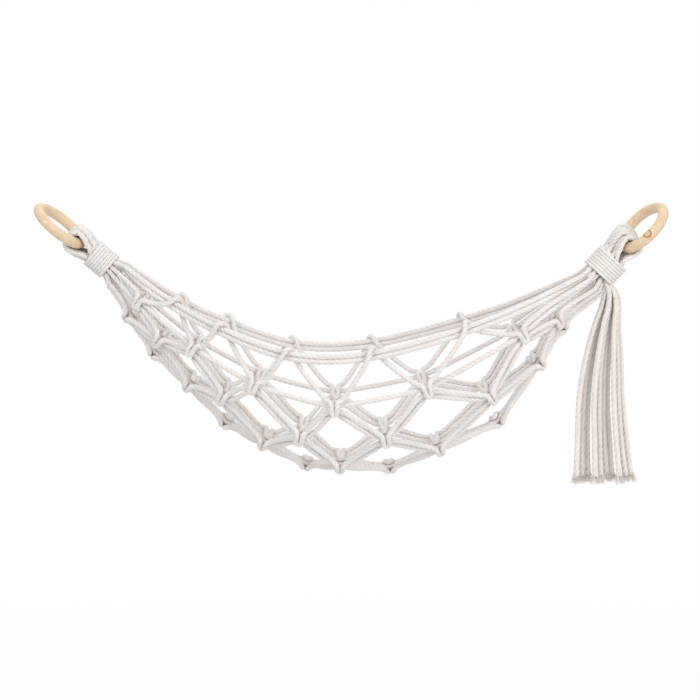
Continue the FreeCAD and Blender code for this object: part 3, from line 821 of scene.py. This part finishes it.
class BASKET_OT_stage(bpy.types.Operator):
    """Camera at the photograph's angle, soft lights, white surroundings and a pale floor"""
    bl_idname = "basket.stage"
    bl_label = "Stage"

    def execute(self, context):
        scene = context.scene
        scene.view_settings.view_transform = "Standard"
        target, elevation = np.array(TARGET), math.radians(ELEVATION)
        camera = bpy.data.objects.new("camera", bpy.data.cameras.new("camera"))
        camera.data.sensor_width = SENSOR
        camera.data.lens = SENSOR * DISTANCE / VIEW_WIDTH
        camera.location = target + DISTANCE * np.array([0.0, -math.cos(elevation), math.sin(elevation)])
        camera.rotation_euler = (math.pi / 2 - elevation, 0.0, 0.0)
        scene.collection.objects.link(camera)
        scene.camera = camera
        for name, place, size, power in LAMPS:
            data = bpy.data.lights.new(name, "AREA")
            data.size, data.energy = size, power
            lamp = bpy.data.objects.new(name, data)
            lamp.location = place
            way = unit(target - np.array(place))
            lamp.rotation_euler = (math.acos(-way[2]), 0.0, math.atan2(way[1], way[0]) - math.pi / 2)
            scene.collection.objects.link(lamp)
        self.surround(scene)
        self.floor(scene)
        return {"FINISHED"}

    @staticmethod
    def seen_ray(tree):
        """1 for rays that show the surroundings: camera, glossy and transmission rays."""
        rays = add_node(tree, "ShaderNodeLightPath")
        both = math_node(tree, "MAXIMUM", rays.outputs["Is Camera Ray"], rays.outputs["Is Glossy Ray"])
        return math_node(tree, "MAXIMUM", both, rays.outputs["Is Transmission Ray"])

    def surround(self, scene):
        """White surroundings that light the object at a lower level than they show."""
        world = bpy.data.worlds.new("studio")
        world.use_nodes = True
        tree = world.node_tree
        light = tree.nodes["Background"]
        light.inputs["Color"].default_value = (1.0, 1.0, 1.0, 1.0)
        strength = ranged(tree, self.seen_ray(tree), 0.0, 1.0, WORLD_LIGHT, WORLD_SEEN)
        tree.links.new(strength, light.inputs["Strength"])
        scene.world = world

    def floor(self, scene):
        """A disc of rings and spokes about its middle: p = middle + (r cos a, r sin a, 0)."""
        rings, spokes = FLOOR_RINGS, FLOOR_SPOKES
        r = FLOOR_REACH * np.linspace(0, 1, rings + 1)[1:] ** 2
        a = TAU * np.arange(spokes) / spokes
        grid = np.stack(np.broadcast_arrays(r[:, None] * np.cos(a), r[:, None] * np.sin(a), 0.0), axis=2)
        co = np.concatenate([np.zeros((1, 3)), grid.reshape(-1, 3)]) + FLOOR_MIDDLE
        place = 1 + np.arange(rings * spokes).reshape(rings, spokes)
        after = np.roll(place, -1, axis=1)
        quads = np.stack([place[:-1], place[1:], after[1:], after[:-1]], axis=2).reshape(-1, 4)
        middle = np.stack([np.zeros(spokes, dtype=int), place[0], after[0]], axis=1)
        mesh = bpy.data.meshes.new("studio_floor")
        mesh.from_pydata(co.tolist(), [], quads.tolist() + middle.tolist())
        material = bpy.data.materials.new("pale floor")
        material.use_nodes = True
        tree = material.node_tree
        tree.nodes.remove(tree.nodes["Principled BSDF"])
        matt = add_node(tree, "ShaderNodeBsdfDiffuse")
        matt.inputs["Color"].default_value = (*scene.basket_colours.floor, 1.0)
        white = add_node(tree, "ShaderNodeEmission")
        spot = add_node(tree, "ShaderNodeVectorMath", operation="DISTANCE")
        spot.inputs[1].default_value = FLOOR_MIDDLE
        tree.links.new(add_node(tree, "ShaderNodeTexCoord").outputs["Object"], spot.inputs[0])
        fade = ranged(tree, spot.outputs["Value"], *FLOOR_FADE)
        both = add_node(tree, "ShaderNodeMixShader")
        tree.links.new(math_node(tree, "MULTIPLY", self.seen_ray(tree), fade), both.inputs[0])
        tree.links.new(matt.outputs[0], both.inputs[1])
        tree.links.new(white.outputs[0], both.inputs[2])
        tree.links.new(both.outputs[0], tree.nodes["Material Output"].inputs["Surface"])
        mesh.materials.append(material)
        piece = bpy.data.objects.new("studio_floor", mesh)
        scene.collection.objects.link(piece)


def net_cotton(scene):
    """The cotton of the net, its loops and bunches."""
    tones = scene.basket_colours
    return cotton("net cotton", tones.cotton, tones.cotton_groove_shade, CORD_YARNS)


# Tails: metres, and shares of the cord's width, lay and groove
LOOSE_RUN, LOOSE_SWELL, LOOSE_GROOVE, LOW_RUN, LOW_SWELL = 0.016, 0.16, 0.2, 0.14, 0.14
TAIL_LAY, TAIL_PHASE, TIP_BACK, BEND_OFF = 1.1, 2.3, 5, -12.0


class BASKET_OT_tassel(bpy.types.Operator):
    """Free tails of the tassel with frayed ends, and their bends out of the winding"""
    bl_idname = "basket.tassel"
    bl_label = "Tassel"

    def execute(self, context):
        scene, sizes = context.scene, context.scene.basket_cords
        tones = scene.basket_colours
        material = cotton("tassel cotton", tones.tassel, tones.cotton_groove_shade, CORD_YARNS)
        tails, ways = tail_routes()
        bends = []
        for j, (tail, way) in enumerate(zip(tails, ways)):
            hanging = smooth_line(tail)
            above = even_stations(smooth_line(np.concatenate([way, tail[:1]])), sizes.step)
            line = np.concatenate([above, even_stations(hanging, sizes.step)[1:]])
            first = len(above) - 1
            left = lengths(line)[-1] - lengths(line)
            loose = np.clip(1 - left / LOOSE_RUN, 0, 1) ** 2
            fuller = 1 + LOOSE_SWELL * loose + LOW_SWELL * np.clip(1 - left / LOW_RUN, 0, 1)
            tube = rope(line, sizes.cord * fuller, sizes.lay * TAIL_LAY,
                        sizes.groove + LOOSE_GROOVE * loose, sizes.sides, phase=TAIL_PHASE * j)
            bends.append(cut(tube, 0, first))
            name = "tassel_tail_%02d" % (j + 1)
            piece = closed_tubes("cord_" + name, [cut(tube, first, len(line) - 1)], material)
            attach(piece, "tassel")
            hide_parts(name)
            yarns = loose_yarns(line[-1], unit(line[-1] - line[-TIP_BACK]), sizes, YARN_SEED + j)
            fray = closed_tubes("fray_" + name, yarns, material)
            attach(fray, "tassel")
        piece = closed_tubes("tassel_bends", bends, material)
        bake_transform(piece)
        return {"FINISHED"}


class BASKET_OT_net(bpy.types.Operator):
    """Cords of the net and of both rims"""
    bl_idname = "basket.net"
    bl_label = "Net and rims"

    def execute(self, context):
        material = net_cotton(context.scene)
        for name, inner, middle, outer in bunch_ropes(context.scene.basket_cords):
            on_basket(closed_tubes("cord_" + name, [middle], material), name)
        return {"FINISHED"}


class BASKET_OT_necks(bpy.types.Operator):
    """The cords squeezed inside each winding, out to where the net begins"""
    bl_idname = "basket.necks"
    bl_label = "Necks"

    def execute(self, context):
        material = net_cotton(context.scene)
        ropes = bunch_ropes(context.scene.basket_cords)
        on_basket(closed_tubes("left_neck_cords", [r[1] for r in ropes], material), "left_neck")
        on_basket(closed_tubes("right_neck_cords", [r[3] for r in ropes], material), "right_neck")
        return {"FINISHED"}


class BASKET_OT_loops(bpy.types.Operator):
    """Cords folded over each ring"""
    bl_idname = "basket.loops"
    bl_label = "Loops over the rings"

    def execute(self, context):
        sizes, material = context.scene.basket_cords, net_cotton(context.scene)
        for end, node, shift in ((LEFT, "left_bights", LEFT_NEST), (RIGHT, "right_bights", RIGHT_NEST)):
            tubes = []
            for k, route in enumerate(loop_routes(end, shift)):
                line = even_stations(smooth_line(route), sizes.step)
                tubes.append(rope(line, LOOP_D * MM, sizes.lay, sizes.groove, sizes.sides,
                                  phase=LOOP_PHASE * k))
            on_basket(closed_tubes("cord_" + node, tubes, material), node)
        return {"FINISHED"}


# Winding thread: shares of the cord's step, lay and groove, and points round it
THREAD_STEP, THREAD_LAY, THREAD_GROOVE, THREAD_SIDES = 0.6, 0.55, 0.7, 15


class BASKET_OT_windings(bpy.types.Operator):
    """Thin cord wound round each bunch"""
    bl_idname = "basket.windings"
    bl_label = "Windings"

    def execute(self, context):
        sizes, tones = context.scene.basket_cords, context.scene.basket_colours
        material = cotton("winding cotton", tones.cotton, tones.cotton_groove_shade, THREAD_YARNS)
        for end, node in ((LEFT, "left_wrap"), (RIGHT, "right_wrap")):
            line = even_stations(smooth_line(wrap_route(end)), sizes.step * THREAD_STEP)
            tube = rope(line, sizes.thread, sizes.lay * THREAD_LAY, sizes.groove * THREAD_GROOVE,
                        THREAD_SIDES)
            on_basket(closed_tubes("cord_" + node, [tube], material), node)
        return {"FINISHED"}


class BASKET_OT_rings(bpy.types.Operator):
    """Pale turned wood on both rings, with a round plug on the right one"""
    bl_idname = "basket.rings"
    bl_label = "Wooden rings"

    def execute(self, context):
        tones = context.scene.basket_colours
        for node, turn in (("left_ring", LEFT_GRAIN), ("right_ring", RIGHT_GRAIN)):
            values = {"Early": (*tones.wood, 1.0), "Late": (*tones.wood_deep, 1.0), "Grain": turn}
            material = finished_material("turned wood " + node, wood_group(), values, bump=0.25,
                                         distance=0.0004, Specular_IOR_Level=0.45)
            if node == "right_ring":
                plugged_knot(material)
            mesh = bpy.data.objects[node].data
            mesh.materials.clear()
            mesh.materials.append(material)
        return {"FINISHED"}


class BASKET_PT_panel(bpy.types.Panel):
    """Lists the basket's sizes, colours and pieces"""
    bl_idname = "BASKET_PT_panel"
    bl_label = "Hanging fruit basket"
    bl_space_type = "VIEW_3D"
    bl_region_type = "UI"
    bl_category = "Basket"

    def draw(self, context):
        for settings in (context.scene.basket_cords, context.scene.basket_colours):
            column = self.layout.column()
            for key in settings.__annotations__:
                column.prop(settings, key)
        for piece in PIECES:
            self.layout.operator(piece.bl_idname)


PIECES = (BASKET_OT_stage, BASKET_OT_tassel, BASKET_OT_net, BASKET_OT_necks, BASKET_OT_loops,
          BASKET_OT_windings, BASKET_OT_rings)
CLASSES = (BasketCordSizes, BasketColours, *PIECES, BASKET_PT_panel)


def register():
    for kind in CLASSES:
        bpy.utils.register_class(kind)
    bpy.types.Scene.basket_cords = bpy.props.PointerProperty(type=BasketCordSizes)
    bpy.types.Scene.basket_colours = bpy.props.PointerProperty(type=BasketColours)


def unregister():
    del bpy.types.Scene.basket_colours
    del bpy.types.Scene.basket_cords
    for kind in reversed(CLASSES):
        bpy.utils.unregister_class(kind)


def main():
    register()
    bpy.ops.basket.stage()
    bpy.ops.basket.tassel()
    bpy.ops.basket.net()
    bpy.ops.basket.necks()
    bpy.ops.basket.loops()
    bpy.ops.basket.windings()
    bpy.ops.basket.rings()


if __name__ == "__main__":
    main()
